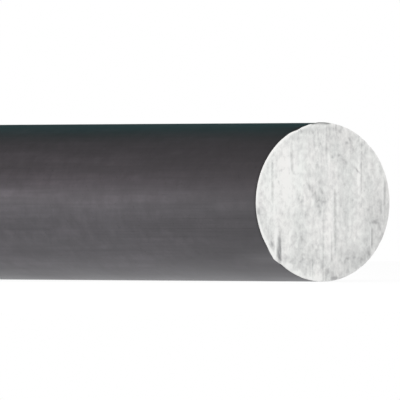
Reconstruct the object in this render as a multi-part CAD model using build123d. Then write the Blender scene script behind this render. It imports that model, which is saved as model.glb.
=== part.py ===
from build123d import *
import os

# A round bar of hot-rolled steel, sawn to length from longer stock: one solid piece.
# It lies along X on the plane Z = 0, and the origin is the middle of the line that
# it rests on. The rolled skin runs the whole length, and the saw leaves a square
# face at each end, with the sharp corner just broken. Sizes are in millimetres.

BAR_DIAMETER = 50.0  # nominal size of the rolled section
BAR_LENGTH = 300.0  # a short length, as cut to order from a mill bar
EDGE_BREAK = 0.3  # the corner that is filed off after sawing

BAR_RADIUS = BAR_DIAMETER / 2


def make_round_bar():
    """The bar: a cylinder along X with both end corners broken, resting on Z = 0."""
    bar = Cylinder(BAR_RADIUS, BAR_LENGTH)
    bar = chamfer(bar.edges().filter_by(GeomType.CIRCLE), EDGE_BREAK)
    laid_down = Rotation(0, 90, 0) * bar
    return Pos(0, 0, BAR_RADIUS) * laid_down


os.makedirs("parts", exist_ok=True)
export_step(make_round_bar(), "parts/round_bar.step")
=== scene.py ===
import bpy
import math
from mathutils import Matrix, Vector, noise


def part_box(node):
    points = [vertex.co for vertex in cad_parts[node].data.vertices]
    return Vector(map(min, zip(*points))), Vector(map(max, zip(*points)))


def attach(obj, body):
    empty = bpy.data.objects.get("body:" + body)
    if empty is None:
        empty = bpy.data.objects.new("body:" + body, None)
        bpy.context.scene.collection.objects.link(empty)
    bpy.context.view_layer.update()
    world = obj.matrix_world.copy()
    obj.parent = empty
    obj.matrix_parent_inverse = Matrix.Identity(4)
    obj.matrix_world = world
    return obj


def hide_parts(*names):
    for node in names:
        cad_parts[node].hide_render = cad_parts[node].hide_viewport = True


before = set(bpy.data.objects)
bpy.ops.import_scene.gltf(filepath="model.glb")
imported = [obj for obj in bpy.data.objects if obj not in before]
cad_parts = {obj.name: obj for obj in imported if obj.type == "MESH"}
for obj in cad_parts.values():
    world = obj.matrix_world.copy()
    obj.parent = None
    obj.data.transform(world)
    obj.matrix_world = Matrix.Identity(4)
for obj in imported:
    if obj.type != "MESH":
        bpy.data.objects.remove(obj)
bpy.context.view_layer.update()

# ---------------------------------------------------------------------------
# The bar: one length of hot-rolled steel round, sawn square from a mill bar.
# It starts as a plain round whose corners are just broken, and extra rings near
# its ends carry the burr that the saw left.
# ---------------------------------------------------------------------------

MM = 0.001

BAR_LOW, BAR_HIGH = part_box("round_bar")
BAR_LENGTH = BAR_HIGH.x - BAR_LOW.x
BAR_RADIUS = (BAR_HIGH.z - BAR_LOW.z) / 2
BAR_CENTRE = (BAR_LOW + BAR_HIGH) / 2

BAR_SIDES = 288  # facets round the section, each too small to see
BAR_RINGS = 12  # divisions along the skin
EDGE_BREAK = 0.3 * MM
EDGE_STEPS = 2
NEAR_END_RINGS = (0.9 * MM, 1.6 * MM)  # extra rings behind each corner, for the burr
PLANE_TOLERANCE = 0.001 * MM


def edit(piece):
    """Opens a piece for editing, with everything showing and nothing selected."""
    bpy.ops.object.select_all(action="DESELECT")
    piece.select_set(True)
    bpy.context.view_layer.objects.active = piece
    bpy.ops.object.mode_set(mode="EDIT")
    bpy.ops.mesh.reveal(select=False)
    bpy.ops.mesh.select_all(action="DESELECT")


def select(piece, kind, wanted):
    """Selects those vertices, edges or faces of the open piece that wanted() is true for."""
    modes = {"vertices": "VERT", "edges": "EDGE", "polygons": "FACE"}
    bpy.ops.mesh.select_mode(type=modes[kind])
    bpy.ops.mesh.select_all(action="DESELECT")
    bpy.ops.object.mode_set(mode="OBJECT")
    for element in getattr(piece.data, kind):
        element.select = wanted(element)
    bpy.ops.object.mode_set(mode="EDIT")


def edge_points(edge):
    return [bar.data.vertices[i].co for i in edge.vertices]


def is_rim(edge):
    return all(abs(abs(p.x) - BAR_LENGTH / 2) < PLANE_TOLERANCE for p in edge_points(edge))


def runs_along(edge):
    a, b = edge_points(edge)
    return abs(a.x - b.x) > BAR_LENGTH / 2


bpy.ops.object.select_all(action="DESELECT")
bpy.ops.mesh.primitive_cylinder_add(
    vertices=BAR_SIDES,
    radius=BAR_RADIUS,
    depth=BAR_LENGTH,
    end_fill_type="NGON",
    location=BAR_CENTRE,
    rotation=(0, math.radians(90), 0),
)
bar = bpy.context.object
bar.name = "sawn_round_bar"
bpy.ops.object.transform_apply(location=True, rotation=True, scale=True)

edit(bar)
select(bar, "edges", is_rim)
bpy.ops.mesh.bevel(offset=EDGE_BREAK, offset_type="OFFSET", segments=EDGE_STEPS, profile=0.5)

# ---------------------------------------------------------------------------
# The sawn ends: bare metal that the teeth of a band saw drew down across the
# bar. Each face is cut into upright tooth lines that stand at slightly
# different depths, with a few deeper scores where a tooth dug in.
# ---------------------------------------------------------------------------

TOOTH_PITCH = 0.2 * MM  # from one tooth line to the next
TOOTH_STEP = 0.4 * MM  # divisions down each line
TOOTH_DEPTH = 0.03 * MM
TOOTH_WIDTH = 0.5 * MM
TOOTH_RUN = 14 * MM
DRIFT_DEPTH = 0.06 * MM  # how far the blade wandered
DRIFT_WIDTH = 5 * MM
DRIFT_RUN = 20 * MM
TOOTH_SEED, DRIFT_SEED = 3, 7  # each picks its own part of the noise, and each end has its own

# across the face, top, bottom, lean, depth, reach to the left and right, run-out: mm
SCORES = (
    (-15.8, -6.6, -25.0, 0.03, 0.24, 1.9, 0.4, 9.0),
    (-18.9, 15.0, -1.5, 0.0, 0.08, 0.6, 0.5, 3.0),
    (-11.7, 20.0, 7.8, 0.03, 0.09, 0.7, 0.8, 4.0),
    (1.2, 25.0, 11.0, 0.0, 0.06, 0.4, 0.5, 4.0),
    (5.1, 25.0, 20.0, 0.03, 0.11, 0.6, 0.4, 2.0),
    (5.3, 20.0, 15.0, 0.0, 0.03, 0.4, 0.4, 2.0),
    (14.1, 16.0, 1.0, 0.0, 0.08, 0.2, 0.5, 3.0),
    (0.1, -1.5, -24.0, 0.0, 0.06, 0.45, 0.45, 5.0),
    (4.5, 6.0, -18.0, 0.0, 0.07, 0.7, 0.7, 4.0),
    (3.1, -9.5, -19.5, 0.0, 0.06, 0.4, 0.4, 2.0),
    (18.3, -6.5, -15.5, 0.0, 0.1, 0.4, 0.6, 2.0),
    (23.15, 8.0, -6.5, 0.0, 0.11, 0.6, 0.5, 3.0),
    (1.0, -18.8, -25.0, 0.0, 0.08, 0.5, 0.5, 2.0),
    (-4.0, -18.0, -24.5, 0.0, 0.05, 0.3, 0.4, 2.0),
    (-5.3, 20.5, 12.0, 0.0, 0.03, 0.4, 0.4, 4.0),
    (-0.7, 17.0, 7.0, 0.0, 0.03, 0.4, 0.4, 3.0),
    (-9.3, 23.0, 14.0, 0.0, 0.03, 0.4, 0.4, 3.0),
    (9.3, 4.0, -8.0, 0.0, 0.02, 0.4, 0.4, 3.0),
    (16.2, -9.0, -18.0, 0.0, 0.02, 0.4, 0.4, 3.0),
)
FAR_SCORES = (
    (-9.5, 21.0, 2.0, 0.03, 0.08, 0.3, 0.5, 5.0),
    (-2.2, 2.0, -25.0, 0.0, 0.11, 0.9, 0.4, 12.0),
    (6.3, 25.0, 9.0, 0.0, 0.07, 0.4, 0.3, 4.0),
    (12.1, 3.0, -14.0, -0.02, 0.06, 0.3, 0.4, 3.0),
    (17.6, 9.0, -12.0, 0.0, 0.08, 0.3, 0.5, 4.0),
    (-17.0, 6.0, -9.0, 0.0, 0.05, 0.3, 0.3, 3.0),
    (-13.2, -4.0, -18.0, 0.02, 0.07, 0.4, 0.3, 4.0),
)
LIP_SHARE = 0.35  # how far the metal beside a score is raised, as a share of its depth
LIP_WIDTH = 0.45 * MM
LIP_LIMIT = 0.12  # a score deeper than this raises no taller lip: mm
OVER_RIM = 24  # a score that starts or ends past this height runs out over the rim: mm
SCORE_NARROWEST = 0.4  # how wide a score still is where it runs out, as a share
SCORE_FLATNESS = 1.5  # 1 is a V, and above that the bottom is flat
SCORE_SHADING_DEPTH = 0.1 * MM  # the depth at which the score mask is 1; the mask paints shade into the scores and a highlight on their raised lips
SCORE_SHADING_LIMIT = 2.4

# short grey strokes where the teeth dragged metal: across, up, half width, half height in mm,
# lean, strength
SMEARS = (
    # along the top
    (-8.3, 22.2, 0.5, 0.5, 0.0, 2.2),
    (-3.8, 22.0, 0.35, 0.8, 0.2, 1.1),
    (-2.1, 21.7, 0.35, 0.8, 0.2, 1.1),
    (-3.1, 21.0, 0.7, 0.35, 0.0, 0.9),
    (-1.2, 18.9, 0.4, 1.3, 0.4, 1.0),
    (-3.2, 17.6, 0.35, 0.8, 0.0, 0.9),
    (-1.5, 17.6, 0.35, 0.8, 0.0, 0.9),
    (-2.3, 16.5, 0.8, 0.4, 0.0, 0.9),
    (-0.4, 16.7, 0.9, 0.4, 0.0, 0.9),
    (0.0, 14.8, 0.4, 1.3, 0.0, 0.9),
    (-13.7, 18.6, 0.7, 0.7, 0.0, 0.9),
    (-14.1, 17.0, 0.9, 0.8, 0.0, 0.5),
    (-10.7, 8.9, 0.5, 0.9, 0.7, 1.2),
    (-2.2, 12.0, 0.5, 1.1, 0.3, 1.2),
    (-3.8, 10.0, 0.5, 0.9, 0.0, 0.8),
    (-6.0, 9.7, 0.4, 0.9, 0.6, 0.7),
    (-5.3, 12.3, 0.5, 0.8, 0.0, 0.5),
    (4.2, 23.0, 1.4, 0.6, 0.0, 1.2),
    (6.3, 22.5, 0.7, 0.7, 0.4, 1.4),
    (3.3, 18.2, 0.6, 0.5, 0.0, 1.0),
    (-20.3, 11.0, 0.8, 0.4, 0.0, 0.9),
    (-17.0, 9.9, 1.6, 0.4, 0.0, 0.9),
    (-14.5, 10.1, 1.5, 0.35, 0.0, 0.5),
    (-17.0, 8.0, 0.7, 0.4, -0.3, 0.9),
    (-16.5, 6.2, 0.4, 0.7, 0.5, 1.0),
    (-11.1, 4.5, 0.6, 0.6, 0.0, 1.0),
    (-11.5, 2.0, 0.35, 0.9, 0.0, 0.6),
    # top right
    (9.5, 20.1, 0.5, 0.8, 0.9, 1.3),
    (8.9, 18.7, 0.7, 0.6, 0.0, 2.0),
    (10.6, 18.6, 0.5, 1.3, 0.4, 1.9),
    (11.0, 17.0, 0.5, 0.9, 0.0, 1.8),
    (9.7, 17.3, 0.8, 0.5, 0.0, 1.1),
    (10.2, 16.0, 0.5, 0.9, 0.3, 1.3),
    (14.5, 18.2, 0.5, 0.7, 0.0, 1.3),
    (14.2, 16.0, 0.4, 0.9, 0.0, 0.9),
    (15.5, 16.0, 0.35, 1.2, 0.0, 1.1),
    (14.5, 13.5, 0.6, 0.5, 0.0, 1.2),
    (14.0, 12.2, 0.4, 1.2, 0.0, 0.9),
    (3.5, 14.3, 0.5, 0.5, 0.0, 1.8),
    (5.9, 14.8, 1.1, 0.4, 0.0, 1.8),
    (5.6, 13.0, 0.4, 0.8, 0.0, 1.3),
    (7.5, 12.8, 0.6, 1.3, 0.2, 2.0),
    (8.5, 12.5, 0.4, 0.6, 0.0, 0.7),
    (3.5, 9.4, 0.5, 0.8, 0.0, 1.2),
    (3.3, 8.0, 0.7, 0.35, 0.0, 0.8),
    (13.2, 9.6, 0.4, 0.9, 1.0, 2.8),
    (7.8, 5.9, 0.35, 1.2, 0.35, 1.1),
    (16.8, 7.5, 0.6, 0.5, 0.0, 0.8),
    (17.5, 5.6, 0.7, 0.6, 0.0, 0.7),
    # the middle
    (-6.3, 6.4, 0.6, 0.8, 0.0, 1.5),
    (-5.1, 5.8, 0.35, 1.0, 0.0, 0.8),
    (-7.1, 4.7, 0.4, 1.0, 0.0, 0.9),
    (-5.1, 4.2, 0.5, 1.0, 0.0, 1.2),
    (-4.1, 4.6, 0.35, 1.2, 0.0, 0.8),
    (-5.9, 5.4, 0.8, 0.4, 0.0, 1.2),
    (-1.4, 6.4, 0.6, 0.9, 0.0, 1.5),
    (-0.4, 4.7, 0.3, 1.0, 0.0, 0.7),
    (0.7, 5.0, 0.3, 1.2, 0.0, 0.5),
    (-6.0, 2.1, 0.5, 1.2, 0.0, 1.2),
    (-3.9, 2.4, 0.5, 1.2, 0.0, 1.4),
    (-2.8, 2.4, 0.5, 1.3, 0.0, 1.4),
    (-1.6, 2.6, 0.45, 1.5, 0.0, 1.1),
    (-0.2, 2.9, 0.5, 0.7, 0.4, 1.2),
    (-2.3, 0.5, 0.6, 0.7, 0.0, 1.5),
    (-1.4, 0.9, 0.4, 0.9, 0.0, 1.1),
    (-9.0, 1.2, 0.4, 0.9, 0.0, 1.8),
    (-7.5, 1.3, 0.4, 0.9, 0.0, 1.4),
    (-8.3, 0.2, 0.8, 0.5, 0.0, 1.9),
    (-7.7, -1.3, 0.5, 0.9, 0.0, 0.9),
    (0.3, 1.5, 0.9, 0.35, 0.0, 0.9),
    (-0.9, -0.2, 0.6, 0.6, 0.0, 1.7),
    (0.4, 0.1, 0.7, 0.5, 0.0, 1.5),
    (1.8, 0.9, 0.4, 0.5, 0.0, 1.3),
    (-1.9, -1.2, 0.5, 0.6, 0.0, 1.5),
    (-1.3, -2.8, 0.55, 1.3, 0.15, 1.8),
    (-6.3, -3.2, 0.6, 1.4, -0.2, 1.9),
    (-8.4, -4.4, 0.5, 1.2, 0.0, 1.2),
    (-9.4, -3.6, 0.4, 0.8, 0.0, 0.6),
    (-5.3, -5.8, 0.8, 0.7, 0.0, 0.6),
    # the left side
    (-24.4, -2.8, 0.9, 1.1, 0.0, 3.4),
    (-22.5, -1.7, 0.5, 0.6, 0.0, 1.3),
    (-15.0, -3.2, 0.5, 0.8, -0.9, 1.0),
    (-16.9, -3.6, 0.6, 0.4, 0.0, 0.7),
    (-17.3, -7.7, 1.0, 0.4, 0.0, 0.9),
    (-13.2, -6.7, 0.6, 0.4, 0.0, 0.7),
    (-19.3, -13.0, 0.7, 1.0, 0.0, 2.0),
    (-19.1, -10.8, 0.5, 1.4, 0.0, 1.3),
    (-19.4, -12.5, 1.1, 2.2, 0.0, 0.9),
    (-20.1, -13.7, 0.5, 0.8, 0.0, 1.4),
    (-13.7, -17.1, 0.6, 0.7, -0.4, 1.0),
    # below the middle, to the left
    (-8.9, -7.7, 0.4, 0.8, 0.0, 1.3),
    (-7.9, -10.9, 0.9, 1.6, 0.0, 0.9),
    (-10.9, -11.1, 0.9, 0.6, 0.0, 1.2),
    (-9.2, -13.0, 0.4, 0.8, 0.0, 0.9),
    (-11.3, -13.7, 0.6, 0.7, 0.0, 1.0),
    (-9.6, -14.9, 0.8, 0.5, 0.0, 1.2),
    (-8.1, -17.1, 0.4, 0.9, 0.0, 1.3),
    (-7.4, -16.4, 0.6, 0.4, 0.0, 1.1),
    (-7.4, -18.1, 0.6, 0.4, 0.0, 1.0),
    (-12.0, -19.0, 0.9, 0.5, 0.0, 1.2),
    (-9.8, -19.4, 0.6, 0.6, 0.0, 1.0),
    (-8.5, -18.7, 0.4, 0.5, 0.0, 0.9),
    (-3.7, -14.2, 0.35, 0.8, 0.0, 1.5),
    (-1.7, -14.3, 0.35, 0.8, 0.0, 1.5),
    (-2.7, -13.2, 0.7, 0.4, 0.0, 1.3),
    (-2.7, -15.1, 0.7, 0.4, 0.0, 1.2),
    (-5.7, -19.0, 1.4, 2.2, 0.0, 0.6),
    # along the bottom
    (-4.0, -19.0, 0.35, 1.5, 0.0, 1.1),
    (-2.3, -19.2, 1.5, 0.4, 0.0, 1.0),
    (-2.3, -17.6, 1.5, 0.5, 0.0, 0.7),
    (-0.4, -20.0, 0.4, 1.6, 0.0, 1.2),
    (3.1, -17.8, 0.4, 1.2, 0.0, 1.2),
    (1.8, -21.6, 0.9, 1.6, 0.0, 1.0),
    (3.3, -22.6, 1.0, 1.2, 0.0, 1.0),
    (4.6, -24.0, 1.0, 0.5, 0.0, 3.0),
    (2.9, -24.2, 1.8, 0.6, 0.0, 2.0),
    # below the middle, to the right
    (9.5, -21.7, 0.9, 0.6, 0.6, 2.2),
    (11.9, -17.5, 1.1, 0.4, -0.2, 1.6),
    (9.3, -17.8, 1.2, 0.4, 0.0, 1.1),
    (8.2, -18.7, 0.4, 0.7, 0.0, 1.3),
    (14.2, -18.1, 0.5, 0.8, 0.0, 1.2),
    (15.7, -17.1, 0.8, 0.8, 0.0, 0.9),
    (13.0, -19.0, 1.2, 0.4, 0.0, 0.8),
    (17.0, -15.9, 0.55, 0.9, 0.3, 2.2),
    (10.0, -8.3, 1.6, 1.0, 0.0, 0.6),
    (10.0, -11.1, 0.9, 0.6, 0.0, 0.7),
    (7.4, -12.4, 0.6, 0.5, 0.0, 0.6),
    (11.9, -14.0, 0.8, 0.8, 0.0, 0.7),
    (10.0, -16.2, 2.0, 1.0, 0.0, 0.6),
    # the right side
    (16.8, -2.6, 0.6, 1.0, 0.0, 1.4),
    (13.0, -0.4, 2.0, 1.0, 0.0, 0.8),
    (11.0, 0.7, 0.6, 0.35, 0.0, 1.2),
    (8.6, -3.3, 0.4, 1.3, 0.0, 0.8),
    (18.7, -3.9, 0.9, 0.9, 0.0, 0.9),
    (19.2, -6.4, 1.1, 0.6, 0.0, 2.1),
    (20.9, -6.7, 1.0, 0.5, 0.0, 1.0),
    (21.3, -7.7, 0.5, 0.8, 0.0, 1.2),
    (22.0, -10.8, 0.5, 1.2, -0.4, 1.7),
    (18.1, -13.0, 0.5, 0.5, 0.0, 1.2),
    (21.8, -1.0, 0.8, 2.2, 0.0, 0.9),
)
# broad tones in the same order, darker where the strength is above 0 and lighter below; the broadest of
# them are painted light and shade, lighter to the left of the face, where the light comes from, and darker
# to the right, and the small ones are the metal's own tone
TONES_AND_PAINTED_SHADING = (
    (-13.0, 7.0, 7.0, 11.0, 0.0, -1.3),
    (-20.0, 4.0, 4.0, 9.0, 0.0, -0.5),
    (-17.6, -11.5, 0.6, 4.0, 0.0, -2.0),
    (-18.2, -2.0, 0.4, 4.5, 0.0, -0.9),
    (2.3, -9.0, 1.6, 9.0, 0.0, -0.5),
    (2.2, 12.0, 0.35, 4.0, 0.0, -0.9),
    (-8.6, 12.0, 0.35, 2.5, 0.0, -0.9),
    (-4.0, 0.2, 0.5, 1.0, 0.0, -1.6),
    (-5.6, 3.6, 0.35, 0.6, 0.0, -1.0),
    (-8.1, -8.6, 0.5, 0.6, 0.0, -1.6),
    (-7.2, -17.2, 0.4, 0.5, 0.0, -1.4),
    (-2.7, -14.2, 0.4, 0.5, 0.0, -1.4),
    (-2.3, -22.0, 1.2, 2.6, 0.0, -0.9),
    (13.3, 9.5, 0.4, 6.0, 0.0, -1.6),
    (-13.6, -20.3, 1.8, 1.1, 0.0, -1.5),
    (-10.0, -22.2, 2.2, 0.9, 0.0, -1.4),
    (-5.0, -24.0, 5.0, 1.3, 0.0, -1.3),
    (-13.0, -13.0, 2.0, 6.0, 0.0, -0.5),
    (21.0, -6.0, 5.0, 12.0, 0.0, 1.3),
    (12.0, -18.0, 8.0, 4.0, 0.0, 1.1),
    (4.0, -23.0, 4.0, 2.0, 0.0, 0.7),
    (6.0, 20.0, 9.0, 5.0, 0.0, 0.4),
    (3.2, 21.0, 1.9, 4.5, 0.0, 0.5),
    (-3.0, 2.5, 4.0, 5.0, 0.0, 0.6),
    (-4.0, -19.0, 6.0, 4.0, 0.0, 0.4),
    (16.0, 14.0, 3.0, 5.0, 0.0, 0.4),
)
# where the blade left a burr: the angles from +Y towards +Z at which it starts, stands highest
# and ends, and how far it stands out in mm
BURRS = (
    (214.0, 224.5, 231.5, 0.8),
    (78.0, 93.0, 105.0, 0.24),
)
MARK_REACH = 2.5  # a mark fades out at this many times its half width and half height
BURR_THICKNESS = 1.2 * MM
RIM_RAGGEDNESS = 0.06 * MM
RAGGED_SIZE = 1.5 * MM
CORNER_START = BAR_RADIUS - 1.5 * EDGE_BREAK  # everything farther out belongs to the corner
# how bright the corner is painted, from angle to angle round the rim: a painted highlight, strongest on
# the -Y side where the light comes from, and below 0 where it kept its skin
RIM_HIGHLIGHT_AND_SKIN = (
    (0, 0.05),
    (83, 0.05),
    (86, -0.9),
    (99, -0.9),
    (102, 0.8),
    (130, 0.9),
    (180, 0.85),
    (185, 0.05),
    (189, 0.2),
    (199, 1.0),
    (221, 0.9),
    (232, 0.4),
    (258, 0.5),
    (272, 0.05),
    (360, 0.05),
)
HIGHLIGHT_START = BAR_RADIUS - 3.8 * EDGE_BREAK  # the painted highlight runs in from the corner this far
SKIN_START = BAR_RADIUS - 1.15 * EDGE_BREAK
HIGHLIGHT_AND_SKIN_FULL = BAR_RADIUS - 0.8 * EDGE_BREAK
# nicks in the rim: angle, half width in degrees, depth in mm
RIM_NICKS = (
    (112.5, 7.5, 0.55),
    (105.0, 4.0, 0.2),
    (54.0, 2.0, 0.2),
    (46.5, 2.5, 0.22),
    (304.0, 2.0, 0.15),
)


def at_end(side):
    """A test for the faces of the end on the +X side (1) or the -X side (-1)."""
    plane = side * BAR_LENGTH / 2
    return lambda f: abs(f.center.x - plane) < PLANE_TOLERANCE and f.normal.x * side > 0.99


def cut_lines(axis, spacing):
    """Cuts everything that shows along planes that stand square to axis, spacing apart."""
    lines = int(BAR_RADIUS / spacing)
    for k in range(-lines, lines + 1):
        bpy.ops.mesh.select_all(action="SELECT")
        bpy.ops.mesh.bisect(plane_co=BAR_CENTRE + axis * (k + 0.5) * spacing, plane_no=axis)


for side in (1, -1):
    select(bar, "polygons", at_end(side))
    bpy.ops.mesh.hide(unselected=True)
    cut_lines(Vector((0, 1, 0)), TOOTH_PITCH)
    cut_lines(Vector((0, 0, 1)), TOOTH_STEP)
    bpy.ops.mesh.reveal(select=False)

select(bar, "edges", runs_along)
bpy.ops.mesh.subdivide(number_cuts=BAR_RINGS - 1)
for inset in NEAR_END_RINGS:
    for side in (1, -1):
        bpy.ops.mesh.select_all(action="SELECT")
        plane = Vector((side * (BAR_LENGTH / 2 - inset), 0, 0))
        bpy.ops.mesh.bisect(plane_co=plane, plane_no=(1, 0, 0))
bpy.ops.object.mode_set(mode="OBJECT")


def fade(value, start, end):
    """0 below start, 1 above end, smooth between."""
    t = min(max((value - start) / (end - start), 0), 1)
    return t * t * (3 - 2 * t)


def score_depth(across, up, scores):
    """How deep the scores are at a place on the sawn face, below 0 on a score's raised lip."""
    deepest, lip = 0, 0
    for centre, top, bottom, lean, depth, left, right, run_out in scores:
        aside = across - centre * MM + lean * (up - (top + bottom) / 2 * MM)
        reach = (left if aside < 0 else right) * MM
        if abs(aside) < reach + LIP_WIDTH:
            length = fade(top * MM - up, 0, run_out * MM) if top < OVER_RIM else 1
            length *= fade(up - bottom * MM, 0, run_out * MM) if bottom > -OVER_RIM else 1
            width = reach * (SCORE_NARROWEST + (1 - SCORE_NARROWEST) * length)
            if abs(aside) < width:
                share = min(SCORE_FLATNESS * (1 - abs(aside) / width), 1)
                deepest = max(deepest, share * length * depth * MM)
            elif aside < 0:
                share = max(1 - (abs(aside) - width) / LIP_WIDTH, 0)
                lip = max(lip, share * length * min(depth, LIP_LIMIT) * LIP_SHARE * MM)
    return deepest or -lip


def along_list(value, steps):
    """The level at a value, straight between the (value, level) steps of a list."""
    for (start, low), (end, high) in zip(steps, steps[1:]):
        if start <= value <= end:
            return low + (high - low) * (value - start) / (end - start)
    return steps[-1][1]


def marks_at(across, up, marks):
    """How strong a list of marks is at a place on the sawn face."""
    total = 0
    for centre, height, half_width, half_height, lean, strength in marks:
        dy = up / MM - height
        if abs(dy) < half_height * MARK_REACH:
            dx = across / MM - centre + lean * dy
            if abs(dx) < half_width * MARK_REACH:
                spread = (dx / half_width) ** 2 + (dy / half_height) ** 2
                total += strength * math.exp(-spread)
    return total


MASKS = ("score", "smear", "tone_and_shading", "rim")
for name in MASKS:
    bar.data.attributes.new(name, "FLOAT", "POINT")
score_shading_mask, smear_mask, tone_and_shading_mask, rim_highlight_and_skin_mask = [bar.data.attributes[name] for name in MASKS]
for vertex in bar.data.vertices:
    point = vertex.co
    side = 1 if point.x > 0 else -1
    inward = BAR_LENGTH / 2 - abs(point.x)
    across, up = point.y, point.z - BAR_RADIUS
    radius = math.hypot(across, up)
    angle = math.degrees(math.atan2(up, side * across)) % 360
    if inward < PLANE_TOLERANCE:
        scores = SCORES if side == 1 else FAR_SCORES
        fine = noise.noise(Vector((across / TOOTH_WIDTH, up / TOOTH_RUN, side * TOOTH_SEED)))
        drift = noise.noise(Vector((across / DRIFT_WIDTH, up / DRIFT_RUN, side * DRIFT_SEED)))
        depth = TOOTH_DEPTH * (0.5 + 0.5 * fine) + DRIFT_DEPTH * (0.5 + 0.5 * drift)
        score = score_depth(across, up, scores)
        depth += score
        # the score mask is painted shade in a score and, below 0, a painted highlight on its lip
        score_shading_mask.data[vertex.index].value = min(score / SCORE_SHADING_DEPTH, SCORE_SHADING_LIMIT)
        smear_mask.data[vertex.index].value = marks_at(side * across, side * up, SMEARS)
        # the tone mask carries the metal's own tones together with painted light and shade
        tone_and_shading_mask.data[vertex.index].value = marks_at(side * across, side * up, TONES_AND_PAINTED_SHADING)
        point.x -= side * depth
    if inward < BURR_THICKNESS and radius > CORNER_START:
        near_face = 1 - inward / BURR_THICKNESS
        ragged = noise.noise(Vector((across, up, side)) / RAGGED_SIZE)
        reach = RIM_RAGGEDNESS * ragged * near_face
        if side == 1:
            for start, crest, end, stands in BURRS:
                rise = min((angle - start) / (crest - start), (end - angle) / (end - crest))
                reach += stands * MM * near_face * max(rise, 0)
            for centre, half, nick in RIM_NICKS:
                reach -= nick * MM * near_face * (1 - fade(abs(angle - centre), 0, half))
        point.y += across / radius * reach
        point.z += up / radius * reach
    # a painted highlight on the corner, or its kept skin where the level is below 0
    if inward < 2 * EDGE_BREAK:
        level = along_list(angle, RIM_HIGHLIGHT_AND_SKIN)
        corner_share = fade(radius, HIGHLIGHT_START if level > 0 else SKIN_START, HIGHLIGHT_AND_SKIN_FULL)
        rim_highlight_and_skin_mask.data[vertex.index].value = corner_share * level

for face in bar.data.polygons:
    face.material_index = 1 if abs(face.center.x) > BAR_LENGTH / 2 - EDGE_BREAK * 1.01 else 0

bpy.ops.object.select_all(action="DESELECT")
bar.select_set(True)
bpy.context.view_layer.objects.active = bar
bpy.ops.object.shade_smooth_by_angle(angle=math.radians(30))


def put(tree, kind, inputs=(), **settings):
    """Adds a node, makes its settings, and gives each input a value or a link."""
    node = tree.nodes.new(kind)
    for name, value in settings.items():
        setattr(node, name, value)
    for name, value in dict(inputs).items():
        if isinstance(value, bpy.types.NodeSocket):
            tree.links.new(value, node.inputs[name])
        else:
            node.inputs[name].default_value = value
    return node


def math_node(tree, operation, *values):
    """A Math node's result."""
    return put(tree, "ShaderNodeMath", dict(enumerate(values)), operation=operation).outputs[0]


def remap(tree, value, low, high, to_low=0.0, to_high=1.0):
    """A value taken from the range low to high into another range, and held inside it."""
    inputs = {"Value": value, "From Min": low, "From Max": high, "To Min": to_low, "To Max": to_high}
    return put(tree, "ShaderNodeMapRange", inputs).outputs[0]


def scaled(tree, value, factor, base=0.0):
    """A value times a factor, on top of a base."""
    if base == 0.0:
        return math_node(tree, "MULTIPLY", value, factor)
    return math_node(tree, "MULTIPLY_ADD", value, factor, base)


def blend_colours(tree, share, first, second):
    """first where share is 0, second where it is 1."""
    node = put(tree, "ShaderNodeMix", {0: share, 6: first, 7: second}, data_type="RGBA")
    return node.outputs[2]


def metal_grain():
    """The marks that rolling and sawing both leave along the way the metal was worked, which is Z here."""
    group = bpy.data.node_groups.new("metal_grain", "ShaderNodeTree")
    socket = group.interface.new_socket
    socket("Vector", in_out="INPUT", socket_type="NodeSocketVector")
    sizes = {"Patch Size": 12.0, "Smear Size": 3.0, "Line Spacing": 0.5, "Speck Size": 0.5}
    for name, default in sizes.items():
        socket(name, in_out="INPUT", socket_type="NodeSocketFloat").default_value = default
    for name in ("Patches", "Smears", "Lines", "Specks"):
        socket(name, in_out="OUTPUT", socket_type="NodeSocketFloat")
    given = put(group, "NodeGroupInput").outputs
    result = put(group, "NodeGroupOutput")

    def stretched(size, stretch, seed, **inputs):
        squeeze = {0: given["Vector"], 1: (1, 1, 1 / stretch)}
        place = put(group, "ShaderNodeVectorMath", squeeze, operation="MULTIPLY")
        shift = {0: place.outputs[0], 1: (seed, seed, seed)}
        moved = put(group, "ShaderNodeVectorMath", shift, operation="ADD")
        scale = math_node(group, "DIVIDE", 1.0, size)
        inputs.update({"Vector": moved.outputs[0], "Scale": scale})
        return put(group, "ShaderNodeTexNoise", inputs).outputs[0]

    patches = stretched(given["Patch Size"], 1.8, 0.0, Detail=2.0, Roughness=0.45)
    smears = stretched(given["Smear Size"], 1.35, 90.0, Detail=4.0, Roughness=0.6, Distortion=0.2)
    lines = stretched(given["Line Spacing"], 40.0, 170.0, Detail=1.0, Roughness=0.6)
    bands = stretched(scaled(group, given["Line Spacing"], 3.6), 14.0, 410.0, Detail=1.0)
    specks = stretched(given["Speck Size"], 1.5, 260.0, Detail=1.0, Roughness=0.5)
    group.links.new(patches, result.inputs["Patches"])
    group.links.new(remap(group, smears, 0.32, 0.7), result.inputs["Smears"])
    both = scaled(group, bands, 0.6, scaled(group, lines, 0.4))
    group.links.new(both, result.inputs["Lines"])
    group.links.new(remap(group, specks, 0.66, 0.78), result.inputs["Specks"])
    return group


def material(name):
    """A new material, with its node tree and its Principled shader."""
    made = bpy.data.materials.new(name)
    made.use_nodes = True
    return made, made.node_tree, made.node_tree.nodes["Principled BSDF"]


def grain_in(tree, turn, **sizes):
    """The grain on the piece's own coordinates in millimetres, turned so that it runs the right way."""
    place = put(tree, "ShaderNodeTexCoord").outputs["Object"]
    inputs = {"Vector": place, "Rotation": turn, "Scale": (1 / MM, 1 / MM, 1 / MM)}
    turned = put(tree, "ShaderNodeMapping", inputs)
    node = put(tree, "ShaderNodeGroup", node_tree=GRAIN)
    tree.links.new(turned.outputs[0], node.inputs["Vector"])
    for key, size in sizes.items():
        node.inputs[key.replace("_", " ")].default_value = size
    return node.outputs


GRAIN = metal_grain()

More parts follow.
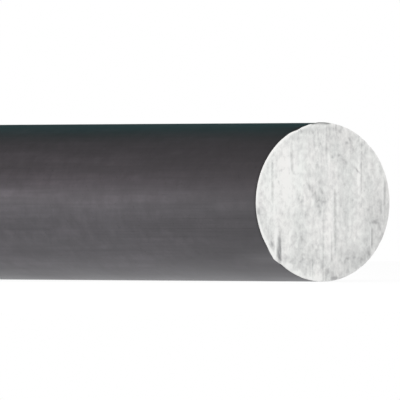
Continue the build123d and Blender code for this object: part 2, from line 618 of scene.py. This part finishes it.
SCALE_TONES = ((0.135, 0.128, 0.139, 1), (0.153, 0.14, 0.153, 1))
SCALE_SMEAR = (0.088, 0.084, 0.089, 1)
SCALE_STREAK = (0.092, 0.088, 0.094, 1)
SCALE_SPECK = (0.05, 0.045, 0.045, 1)
# painted shade that darkens the skin towards the near end
NEAR_END_SHADE = (0.066, 0.064, 0.067, 1)
CORNER_SCALE = (0.04, 0.04, 0.04, 1)
NEAR_END_FROM, NEAR_END_TO = 0.06, 0.15  # where along X the skin is darkened towards the near end: a painted shade, as where less light falls
CORNER_FROM, CORNER_TO = 0.1478, 0.1493  # and the dark line that ends it, at both ends

skin, tree, shader = material("mill_scale")
sizes = {"Patch_Size": 16.0, "Smear_Size": 4.0, "Line_Spacing": 1.0, "Speck_Size": 0.7}
grain = grain_in(tree, (0, math.radians(90), 0), **sizes)
patch = remap(tree, grain["Patches"], 0.3, 0.7)
streak = remap(tree, grain["Lines"], 0.35, 0.65)
place = put(tree, "ShaderNodeTexCoord").outputs["Object"]
along = put(tree, "ShaderNodeSeparateXYZ", {0: place}).outputs["X"]
near_end_shade = remap(tree, along, NEAR_END_FROM, NEAR_END_TO, 0.0, 0.55)
corner = remap(tree, math_node(tree, "ABSOLUTE", along), CORNER_FROM, CORNER_TO)
colour = blend_colours(tree, patch, *SCALE_TONES)
colour = blend_colours(tree, scaled(tree, grain["Smears"], 0.68), colour, SCALE_SMEAR)
colour = blend_colours(tree, scaled(tree, streak, 0.68), colour, SCALE_STREAK)
colour = blend_colours(tree, scaled(tree, grain["Specks"], 0.35), colour, SCALE_SPECK)
# painted shade towards the near end
colour = blend_colours(tree, near_end_shade, colour, NEAR_END_SHADE)
colour = blend_colours(tree, scaled(tree, corner, 0.5), colour, CORNER_SCALE)
tree.links.new(colour, shader.inputs["Base Color"])
shader.inputs["Metallic"].default_value = 0.95
tree.links.new(remap(tree, grain["Patches"], 0.3, 0.7, 0.28, 0.32), shader.inputs["Roughness"])
height = scaled(tree, grain["Lines"], 0.3, grain["Patches"])
bump = put(tree, "ShaderNodeBump", {"Height": height, "Strength": 0.12, "Distance": 0.05 * MM})
tree.links.new(bump.outputs[0], shader.inputs["Normal"])
bar.data.materials.append(skin)

SAWN_TONES = ((0.927, 0.923, 0.902, 1), (0.912, 0.925, 0.9, 1))
SMEAR_AND_SHADE_GREY = (0.42, 0.42, 0.42, 1)
SPECK_GREY = (0.4, 0.4, 0.4, 1)
# painted shade in the scores, and a painted highlight on the lip to the left of each
SCORE_SHADE = (0.2, 0.2, 0.21, 1)
LIP_HIGHLIGHT = (0.97, 0.97, 0.96, 1)
# a painted highlight on the corner, and the skin it kept
RIM_HIGHLIGHT_COLOUR = (0.99, 0.99, 0.97, 1)
RIM_SKIN = (0.15, 0.155, 0.15, 1)

sawn, tree, shader = material("sawn_metal")
sizes = {"Patch_Size": 6.0, "Smear_Size": 1.5, "Line_Spacing": 0.7, "Speck_Size": 0.7}
grain = grain_in(tree, (0, 0, 0), **sizes)
score, smear, tone_and_shading, rim = [
    put(tree, "ShaderNodeAttribute", attribute_name=name).outputs["Fac"] for name in MASKS
]
patch = remap(tree, grain["Patches"], 0.35, 0.65)
grey = scaled(tree, grain["Smears"], 0.4, scaled(tree, patch, 0.12))
grey = scaled(tree, remap(tree, grain["Lines"], 0.35, 0.65), 0.12, grey)
# the broad tones add painted shade to the right of the face and painted light to its left
grey = scaled(tree, tone_and_shading, 0.2, grey)
grey = scaled(tree, smear, remap(tree, grain["Smears"], 0.0, 0.9, 0.1, 0.26), grey)
# painted shade in the scores, broken up by the smears
broken = remap(tree, grain["Smears"], 0.0, 0.55, 0.5, 1.0)
dark = scaled(tree, remap(tree, score, 0.0, SCORE_SHADING_LIMIT, 0.0, 0.78), broken)
colour = blend_colours(tree, patch, *SAWN_TONES)
# the grey here is smears and tones, with painted shade among them
colour = blend_colours(tree, remap(tree, grey, 0.065, 0.965, 0.0, 0.9), colour, SMEAR_AND_SHADE_GREY)
colour = blend_colours(tree, scaled(tree, grain["Specks"], 0.2), colour, SPECK_GREY)
# painted shade darkens the scores and a painted highlight lightens their lips
colour = blend_colours(tree, dark, colour, SCORE_SHADE)
colour = blend_colours(tree, remap(tree, score, 0.0, -0.3, 0.0, 0.5), colour, LIP_HIGHLIGHT)
# a painted highlight on the corner, then the skin it kept
colour = blend_colours(tree, remap(tree, rim, 0.0, 1.0, 0.0, 0.95), colour, RIM_HIGHLIGHT_COLOUR)
colour = blend_colours(tree, remap(tree, rim, 0.0, -0.6, 0.0, 0.9), colour, RIM_SKIN)
tree.links.new(colour, shader.inputs["Base Color"])
shader.inputs["Metallic"].default_value = 0.9
tree.links.new(remap(tree, grain["Smears"], 0.0, 1.0, 0.5, 0.6), shader.inputs["Roughness"])
height = scaled(tree, grain["Smears"], -0.4, grain["Lines"])
bump = put(tree, "ShaderNodeBump", {"Height": height, "Strength": 0.5, "Distance": 0.05 * MM})
tree.links.new(bump.outputs[0], shader.inputs["Normal"])
bar.data.materials.append(sawn)

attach(bar, "root")
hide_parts("round_bar")

# ---------------------------------------------------------------------------
# The floor and the light: a pale floor under a plain white sky, a graded dark
# hood over the far end, which is what the top of the bar mirrors, and two lamps.
# ---------------------------------------------------------------------------

FLOOR_SIZE = 3.0
CAMERA_GLOW = 0.88  # how much of the floor is plain white, whatever stands over it
MIRROR_GLOW = 0.7
NEAR_LEVEL, FAR_LEVEL = 0.83, 1.0  # how bright the mirrored floor is, close by the bar and away from it: a painted shade near the bar, which only reflections show
NEAR_REACH, FAR_REACH = 0.055, 0.12
CONTACT_FROM, CONTACT_TO, CONTACT_LEVEL = 0.004, 0.016, 0.045  # a painted light: the mirrored floor is a little brighter right under the bar
MIRROR_TINT = (0.975, 0.975, 1.0, 1)
bpy.ops.mesh.primitive_plane_add(size=FLOOR_SIZE, location=(0, 0, 0))
floor = bpy.context.object
floor.name = "studio_floor"
paint, tree, shader = material("pale_floor")
shader.inputs["Base Color"].default_value = (0.82, 0.82, 0.82, 1)
shader.inputs["Roughness"].default_value = 1
shader.inputs["Specular IOR Level"].default_value = 0
rays = put(tree, "ShaderNodeLightPath").outputs
seen = math_node(tree, "MAXIMUM", rays["Is Glossy Ray"], rays["Is Transmission Ray"])
place = put(tree, "ShaderNodeTexCoord").outputs["Object"]
aside = math_node(tree, "ABSOLUTE", put(tree, "ShaderNodeSeparateXYZ", {0: place}).outputs["Y"])
mirrored = remap(tree, aside, NEAR_REACH, FAR_REACH, NEAR_LEVEL, FAR_LEVEL)
contact = remap(tree, aside, CONTACT_FROM, CONTACT_TO, CONTACT_LEVEL, 0.0)
mirrored = math_node(tree, "ADD", mirrored, contact)
level = math_node(tree, "MULTIPLY_ADD", seen, mirrored, rays["Is Camera Ray"])
tint = blend_colours(tree, seen, (1, 1, 1, 1), MIRROR_TINT)
glow = put(tree, "ShaderNodeEmission", {"Color": tint, "Strength": level})
share = math_node(tree, "MULTIPLY", seen, MIRROR_GLOW)
share = math_node(tree, "MULTIPLY_ADD", rays["Is Camera Ray"], CAMERA_GLOW, share)
mixed = put(tree, "ShaderNodeMixShader", {0: share, 1: shader.outputs[0], 2: glow.outputs[0]})
tree.links.new(mixed.outputs[0], tree.nodes["Material Output"].inputs["Surface"])
floor.data.materials.append(paint)

world = bpy.data.worlds.new("white_sky")
bpy.context.scene.world = world
world.use_nodes = True
world.node_tree.nodes["Background"].inputs["Color"].default_value = (1, 1, 1, 1)
world.node_tree.nodes["Background"].inputs["Strength"].default_value = 1
world.cycles.sampling_method = "NONE"

# two graded sheets bent round the bar's line, each given by its radius, where it starts and stops
# along X, how far it goes round from the front, and its grades: the hood over the far end, and a
# front sheet that keeps the top of the bar from mirroring plain white
HOOD = (1.0, -4.0, -0.35, 180)
HOOD_GRADES = (
    (0, (0.92, 0.9, 0.92)),
    (14, (0.84, 0.80, 0.83)),
    (40, (0.57, 0.535, 0.55)),
    (60, (0.40, 0.38, 0.39)),
    (85, (0.26, 0.25, 0.26)),
    (105, (0.14, 0.14, 0.14)),
    (125, (0.04, 0.10, 0.105)),
    (180, (0.03, 0.085, 0.09)),
)
FRONT_SHEET = (2.6, -0.2, 6.0, 75)
FRONT_GRADES = (
    (0, (0.24, 0.24, 0.25)),
    (15, (0.3, 0.3, 0.31)),
    (45, (0.6, 0.6, 0.6)),
    (75, (1.0, 1.0, 1.0)),
)


def graded_sheet(name, shape, grades):
    """A sheet bent round the bar's line, that only mirroring surfaces see."""
    radius, start, stop, reach = shape
    bpy.ops.object.select_all(action="DESELECT")
    bpy.ops.mesh.primitive_cylinder_add(
        vertices=72,
        radius=radius,
        depth=stop - start,
        end_fill_type="NOTHING",
        location=((start + stop) / 2, 0, 0),
        rotation=(0, math.radians(90), 0),
    )
    sheet = bpy.context.object
    sheet.name = name
    bpy.ops.object.transform_apply(location=True, rotation=True, scale=True)
    edit(sheet)
    select(sheet, "polygons", lambda f: not 0 < math.degrees(math.atan2(f.center.z, -f.center.y)) < reach)
    bpy.ops.mesh.delete(type="FACE")
    bpy.ops.object.mode_set(mode="OBJECT")
    cloth = bpy.data.materials.new(name + "_card")
    cloth.use_nodes = True
    tree = cloth.node_tree
    tree.nodes.clear()
    place = put(tree, "ShaderNodeTexCoord").outputs["Object"]
    split = put(tree, "ShaderNodeSeparateXYZ", {0: place}).outputs
    front = math_node(tree, "MULTIPLY", split["Y"], -1.0)
    turn = math_node(tree, "ARCTAN2", split["Z"], front)
    ramp = put(tree, "ShaderNodeValToRGB", {0: math_node(tree, "DIVIDE", turn, math.pi)})
    while len(ramp.color_ramp.elements) < len(grades):
        ramp.color_ramp.elements.new(0.5)
    for element, (angle, level) in zip(ramp.color_ramp.elements, grades):
        element.position = angle / 180
        element.color = (*level, 1)
    card = put(tree, "ShaderNodeEmission", {"Color": ramp.outputs[0]})
    put(tree, "ShaderNodeOutputMaterial", {"Surface": card.outputs[0]})
    sheet.data.materials.append(cloth)
    sheet.visible_camera = False
    sheet.visible_diffuse = False
    sheet.visible_transmission = False
    sheet.visible_shadow = False


graded_sheet("graded_hood", HOOD, HOOD_GRADES)
graded_sheet("front_sheet", FRONT_SHEET, FRONT_GRADES)


def softbox(name, place, aim, width, height, radiance):
    """A soft rectangular lamp at a place, turned to face a point."""
    bpy.ops.object.select_all(action="DESELECT")
    bpy.ops.object.light_add(type="AREA", location=place)
    lamp = bpy.context.object
    lamp.name = name
    lamp.rotation_euler = (Vector(place) - Vector(aim)).to_track_quat("Z", "Y").to_euler()
    lamp.data.shape = "RECTANGLE"
    lamp.data.size = width
    lamp.data.size_y = height
    lamp.data.energy = radiance * math.pi * math.pi * width * height
    lamp.visible_camera = False
    return lamp


softbox("strip_light", (-1.15, -0.5, 0.05), (-1.15, 0, 0.05), 0.9, 0.3, 0.17)
softbox("key_light", (0.95, -1.2, 1.1), (0.1, 0, 0.03), 0.9, 0.7, 1.8)

# ---------------------------------------------------------------------------
# The camera: level with the bar's axis, well back, looking at the sawn end.
# ---------------------------------------------------------------------------

VIEW_AZIMUTH = math.radians(57.6)
AIM = Vector((0.0776, 0, 0.02569))
LENS = 1700
SENSOR = 36
FRAME_WIDTH = 0.1272
distance = FRAME_WIDTH / SENSOR * LENS
back = Vector((math.sin(VIEW_AZIMUTH), -math.cos(VIEW_AZIMUTH), 0))
bpy.ops.object.camera_add(location=AIM + back * distance)
camera = bpy.context.object
camera.rotation_euler = back.to_track_quat("Z", "Y").to_euler()
camera.data.lens = LENS
camera.data.sensor_width = SENSOR
bpy.context.scene.camera = camera
bpy.context.scene.view_settings.view_transform = "Standard"
